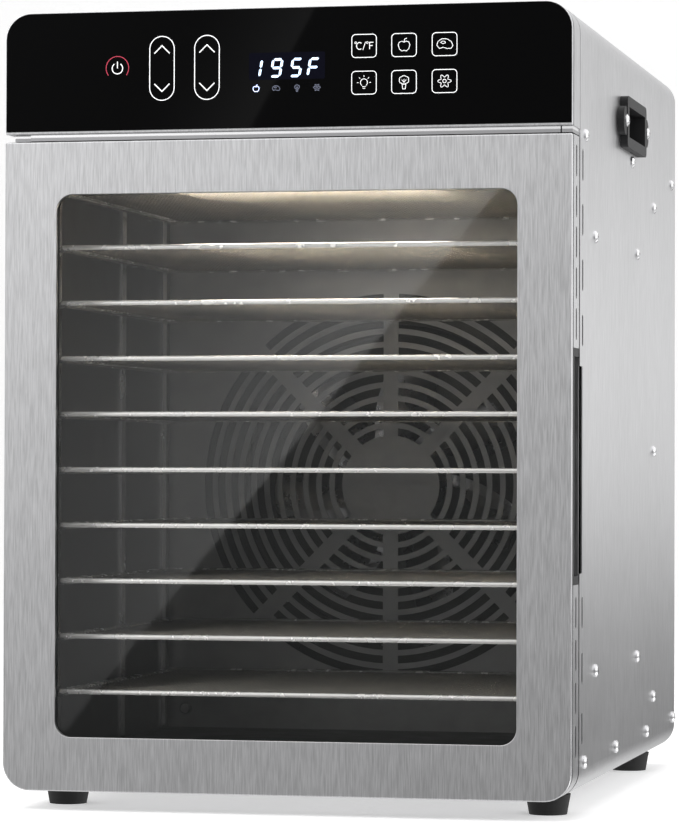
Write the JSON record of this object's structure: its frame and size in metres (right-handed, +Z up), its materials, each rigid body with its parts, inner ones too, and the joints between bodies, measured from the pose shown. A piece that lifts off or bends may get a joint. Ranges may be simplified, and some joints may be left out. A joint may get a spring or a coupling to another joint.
{
  "type": "cabinet food dehydrator",
  "caption": "Stainless cabinet food dehydrator with a hinged window door, sliding mesh trays, a rear fan behind a ring grille and a touch-glass head.",
  "frame": {"origin": "centre of the footprint, on the plane of the feet", "axes": "+Z up, the door and controls face -Y, +X to the right of someone facing the front"},
  "size_m": [0.353, 0.45, 0.472],
  "materials": {
    "brushed_steel": "brushed up and down",
    "inner_steel": "plain sheet, satin",
    "bright_steel": "bright",
    "grille_steel": "satin sheet",
    "tray_steel": "bright wire and rim",
    "chrome_trim": "polished",
    "heater_sheath": "heat-darkened",
    "fan_aluminium": "stamped",
    "motor_paint": "satin",
    "magnet": "dull",
    "transformer_core": "laminated and taped",
    "relay_case": "gloss",
    "circuit_board": "solder mask",
    "black_plastic": "fine matt",
    "bush_nylon": "satin",
    "lamp_lens": "frosted",
    "black_glass": "gloss, back-painted",
    "window_glass": "clear",
    "foot_rubber": "matt",
    "seal_rubber": "matt"
  },
  "bodies": {
    "cabinet": {"outer_wrap": "brushed_steel", "front_frame": "inner_steel", "left_wall": "inner_steel", "right_wall": "inner_steel", "left_rack": "bright_steel", "right_rack": "bright_steel", "wall_stays": "inner_steel", "chamber_ceiling": "inner_steel", "chamber_floor": "inner_steel", "fan_baffle": "grille_steel", "baffle_posts": "bright_steel", "bulkhead": "inner_steel", "heating_element": "heater_sheath", "heater_clips": "bright_steel", "fan_motor": "motor_paint", "motor_bracket": "inner_steel", "rear_panel": "brushed_steel", "power_inlet": "black_plastic", "panel_bezel": "brushed_steel", "touch_glass": "black_glass", "display_module": "black_plastic", "touch_board": "circuit_board", "trim_bar": "chrome_trim", "power_board": "circuit_board", "transformer": "transformer_core", "relay": "relay_case", "temperature_sensor": "bright_steel", "thermal_cutout": "black_plastic", "lamp_holder": "black_plastic", "lamp_lens": "lamp_lens", "side_handle_left": "black_plastic", "side_handle_right": "black_plastic", "feet": "foot_rubber", "foot_screws": "bright_steel", "side_screws": "bright_steel", "hinge_bracket_upper": "bright_steel", "hinge_bracket_lower": "bright_steel", "door_magnets": "magnet"},
    "door": {"door_front_plate": "brushed_steel", "door_shell": "brushed_steel", "door_glass": "window_glass", "glazing_seal": "seal_rubber", "door_handle": "black_plastic", "door_bushes": "bush_nylon", "door_gasket": "seal_rubber", "strike_plates": "bright_steel"},
    "fan": {"fan_wheel": "fan_aluminium", "fan_shaft": "bright_steel", "fan_nut": "bright_steel"},
    "tray_01": {"tray_01": "tray_steel"},
    "tray_02": {"tray_02": "tray_steel"},
    "tray_03": {"tray_03": "tray_steel"},
    "tray_04": {"tray_04": "tray_steel"},
    "tray_05": {"tray_05": "tray_steel"},
    "tray_06": {"tray_06": "tray_steel"},
    "tray_07": {"tray_07": "tray_steel"},
    "tray_08": {"tray_08": "tray_steel"},
    "tray_09": {"tray_09": "tray_steel"},
    "tray_10": {"tray_10": "tray_steel"}
  },
  "joints": [
    {"name": "door_swing", "type": "hinge", "parent": "cabinet", "child": "door", "pos_m": [-0.162, -0.211, 0.202], "axis": [0, 0, -1], "range_deg": [0, 105]},
    {"name": "fan_spin", "type": "hinge", "parent": "cabinet", "child": "fan", "pos_m": [0, 0.107, 0.192], "axis": [0, 1, 0], "continuous": true},
    {"name": "tray_01_slide", "type": "slide", "parent": "cabinet", "child": "tray_01", "axis": [0, -1, 0], "range_m": [0, 0.01]},
    {"name": "tray_02_slide", "type": "slide", "parent": "cabinet", "child": "tray_02", "axis": [0, -1, 0], "range_m": [0, 0.01]},
    {"name": "tray_03_slide", "type": "slide", "parent": "cabinet", "child": "tray_03", "axis": [0, -1, 0], "range_m": [0, 0.01]},
    {"name": "tray_04_slide", "type": "slide", "parent": "cabinet", "child": "tray_04", "axis": [0, -1, 0], "range_m": [0, 0.01]},
    {"name": "tray_05_slide", "type": "slide", "parent": "cabinet", "child": "tray_05", "axis": [0, -1, 0], "range_m": [0, 0.01]},
    {"name": "tray_06_slide", "type": "slide", "parent": "cabinet", "child": "tray_06", "axis": [0, -1, 0], "range_m": [0, 0.01]},
    {"name": "tray_07_slide", "type": "slide", "parent": "cabinet", "child": "tray_07", "axis": [0, -1, 0], "range_m": [0, 0.01]},
    {"name": "tray_08_slide", "type": "slide", "parent": "cabinet", "child": "tray_08", "axis": [0, -1, 0], "range_m": [0, 0.01]},
    {"name": "tray_09_slide", "type": "slide", "parent": "cabinet", "child": "tray_09", "axis": [0, -1, 0], "range_m": [0, 0.01]},
    {"name": "tray_10_slide", "type": "slide", "parent": "cabinet", "child": "tray_10", "axis": [0, -1, 0], "range_m": [0, 0.01]}
  ]
}
